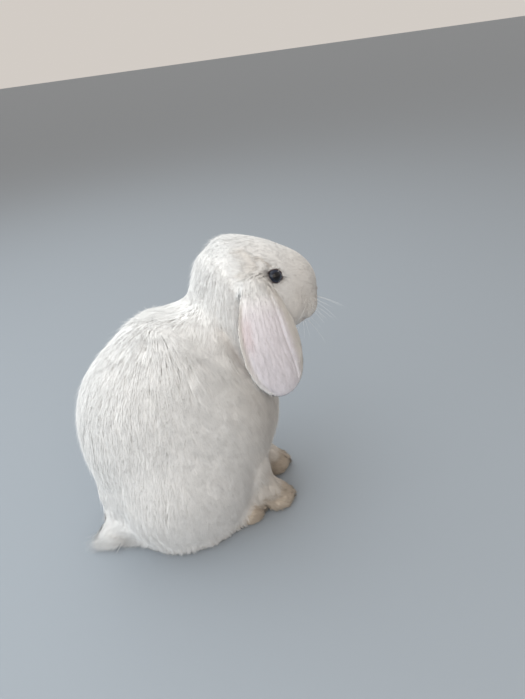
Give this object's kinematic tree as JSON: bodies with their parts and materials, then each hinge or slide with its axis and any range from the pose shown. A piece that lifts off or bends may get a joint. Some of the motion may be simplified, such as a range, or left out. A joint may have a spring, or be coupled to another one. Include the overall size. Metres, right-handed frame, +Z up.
{
  "type": "lop rabbit",
  "caption": "Life-size still model of a white dwarf lop rabbit sitting upright on its haunches, head turned slightly to its left, ears hanging.",
  "frame": {"origin": "a point on the flat under the belly, on the body's middle plane, at floor level", "axes": "+X is the way the rabbit's body faces, +Y its left, +Z up"},
  "size_m": [0.276, 0.1538, 0.2844],
  "materials": {
    "coat": "matte",
    "ear": "matte",
    "eye": "gloss",
    "claw": "satin"
  },
  "bodies": {
    "root": {"head": "coat", "neck": "coat", "trunk": "coat", "tail": "coat", "ear_left": "ear", "eye_left": "eye", "foreleg_left": "coat", "forepaw_left": "coat", "haunch_left": "coat", "hind_foot_left": "coat", "ear_right": "ear", "eye_right": "eye", "foreleg_right": "coat", "forepaw_right": "coat", "haunch_right": "coat", "hind_foot_right": "coat", "claw_fore_left_1": "claw", "claw_fore_left_2": "claw", "claw_fore_left_3": "claw", "claw_fore_left_4": "claw", "claw_hind_left_1": "claw", "claw_hind_left_2": "claw", "claw_hind_left_3": "claw", "claw_hind_left_4": "claw", "claw_fore_right_1": "claw", "claw_fore_right_2": "claw", "claw_fore_right_3": "claw", "claw_fore_right_4": "claw", "claw_hind_right_1": "claw", "claw_hind_right_2": "claw", "claw_hind_right_3": "claw", "claw_hind_right_4": "claw"}
  },
  "joints": []
}
